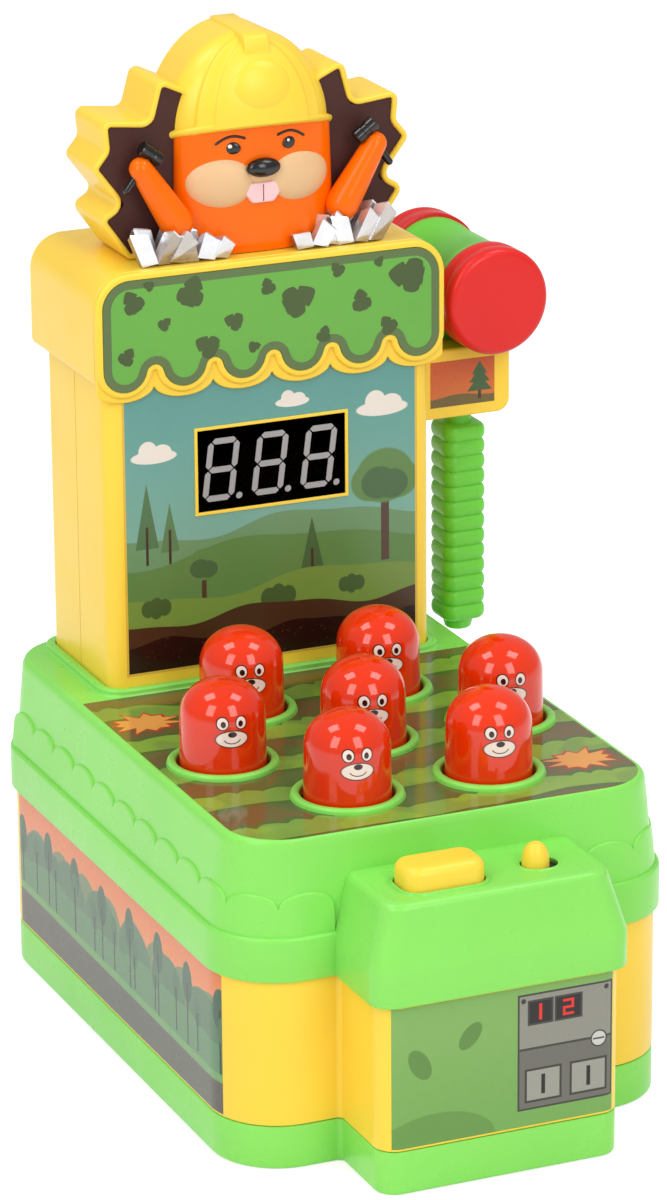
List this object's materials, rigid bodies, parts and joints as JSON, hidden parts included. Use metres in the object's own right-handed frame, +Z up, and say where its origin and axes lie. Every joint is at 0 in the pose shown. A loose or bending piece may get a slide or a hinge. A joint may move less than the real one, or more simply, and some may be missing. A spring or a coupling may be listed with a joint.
{
  "type": "mole pounding game",
  "caption": "Table-top pounding game: spring-loaded mole caps in a raised deck, a score tower with a canopy and figure crown, a start bar, a slide switch and a mallet in a bracket.",
  "frame": {"origin": "middle of the case's flat underside, halfway across its width", "axes": "+Z up, +X to the player's right, the console and the player are at -Y"},
  "size_m": [0.1885, 0.2632, 0.3432],
  "materials": {
    "green_plastic": "moulded, satin gloss",
    "yellow_plastic": "moulded, satin gloss",
    "mole_red": "high gloss, translucent",
    "mallet_red": "soft vinyl",
    "mallet_green": "soft vinyl",
    "crown_brown": "painted, matt",
    "figure_orange": "painted, gloss",
    "muzzle_beige": "painted, satin",
    "black_gloss": "painted, gloss",
    "tooth_pink": "painted, satin",
    "rock_silver": "silver paint",
    "deck_film": "printed film, gloss",
    "green_film": "printed film",
    "road_film": "printed film",
    "sky_film": "printed film",
    "tree_film": "printed film",
    "display_black": "dark window",
    "circuit_board": "solder mask",
    "steel": "bright",
    "cell_jacket": "plain sleeve"
  },
  "bodies": {
    "case": {"arm_left": "figure_orange", "arm_right": "figure_orange", "base_tray": "green_plastic", "battery_cell_1": "cell_jacket", "battery_cell_2": "cell_jacket", "battery_cell_3": "cell_jacket", "battery_contact_left": "steel", "battery_contact_right": "steel", "battery_door": "green_plastic", "bracket_label": "tree_film", "canopy_box": "yellow_plastic", "canopy_label": "green_film", "canopy_plate": "yellow_plastic", "console_board": "circuit_board", "console_label": "green_film", "crown_board": "crown_brown", "crown_shell": "yellow_plastic", "deck_label": "deck_film", "display_board": "circuit_board", "display_module": "display_black", "figure_body": "figure_orange", "figure_muzzle": "muzzle_beige", "figure_nose": "black_gloss", "figure_teeth": "tooth_pink", "helmet": "yellow_plastic", "main_board": "circuit_board", "mallet_bracket": "yellow_plastic", "mid_case": "yellow_plastic", "mole_spring_1": "steel", "mole_spring_2": "steel", "mole_spring_3": "steel", "mole_spring_4": "steel", "mole_spring_5": "steel", "mole_spring_6": "steel", "mole_spring_7": "steel", "panel_label": "sky_film", "rocks_left": "rock_silver", "rocks_right": "rock_silver", "side_label_left": "road_film", "side_label_right": "road_film", "small_mallet_left": "black_gloss", "small_mallet_right": "black_gloss", "speaker": "steel", "start_spring": "steel", "top_cover": "green_plastic", "tower_back": "yellow_plastic", "tower_front": "yellow_plastic"},
    "mole_1": {"mole_1": "mole_red"},
    "mole_2": {"mole_2": "mole_red"},
    "mole_3": {"mole_3": "mole_red"},
    "mole_4": {"mole_4": "mole_red"},
    "mole_5": {"mole_5": "mole_red"},
    "mole_6": {"mole_6": "mole_red"},
    "mole_7": {"mole_7": "mole_red"},
    "start": {"start_button": "yellow_plastic"},
    "switch": {"switch_knob": "yellow_plastic"},
    "mallet": {"mallet_handle": "mallet_green", "mallet_barrel": "mallet_green", "mallet_cap_front": "mallet_red", "mallet_cap_rear": "mallet_red"}
  },
  "joints": [
    {"name": "mole_1_press", "type": "slide", "parent": "case", "child": "mole_1", "axis": [0, 0, 1], "range_m": [-0.01, 0], "stiffness_N_per_m": 70, "springref_m": 0.004, "deforming": ["mole_spring_1"]},
    {"name": "mole_2_press", "type": "slide", "parent": "case", "child": "mole_2", "axis": [0, 0, 1], "range_m": [-0.01, 0], "stiffness_N_per_m": 70, "springref_m": 0.004, "deforming": ["mole_spring_2"]},
    {"name": "mole_3_press", "type": "slide", "parent": "case", "child": "mole_3", "axis": [0, 0, 1], "range_m": [-0.01, 0], "stiffness_N_per_m": 70, "springref_m": 0.004, "deforming": ["mole_spring_3"]},
    {"name": "mole_4_press", "type": "slide", "parent": "case", "child": "mole_4", "axis": [0, 0, 1], "range_m": [-0.01, 0], "stiffness_N_per_m": 70, "springref_m": 0.004, "deforming": ["mole_spring_4"]},
    {"name": "mole_5_press", "type": "slide", "parent": "case", "child": "mole_5", "axis": [0, 0, 1], "range_m": [-0.01, 0], "stiffness_N_per_m": 70, "springref_m": 0.004, "deforming": ["mole_spring_5"]},
    {"name": "mole_6_press", "type": "slide", "parent": "case", "child": "mole_6", "axis": [0, 0, 1], "range_m": [-0.01, 0], "stiffness_N_per_m": 70, "springref_m": 0.004, "deforming": ["mole_spring_6"]},
    {"name": "mole_7_press", "type": "slide", "parent": "case", "child": "mole_7", "axis": [0, 0, 1], "range_m": [-0.01, 0], "stiffness_N_per_m": 70, "springref_m": 0.004, "deforming": ["mole_spring_7"]},
    {"name": "start_press", "type": "slide", "parent": "case", "child": "start", "axis": [0, 0, 1], "range_m": [-0.002, 0], "stiffness_N_per_m": 180, "springref_m": 0.0015, "deforming": ["start_spring"]},
    {"name": "switch_slide", "type": "slide", "parent": "case", "child": "switch", "axis": [1, 0, 0], "range_m": [0, 0.0025]},
    {"name": "mallet_lift", "type": "slide", "parent": "case", "child": "mallet", "axis": [0, 0, 1], "range_m": [0, 0.118]}
  ]
}
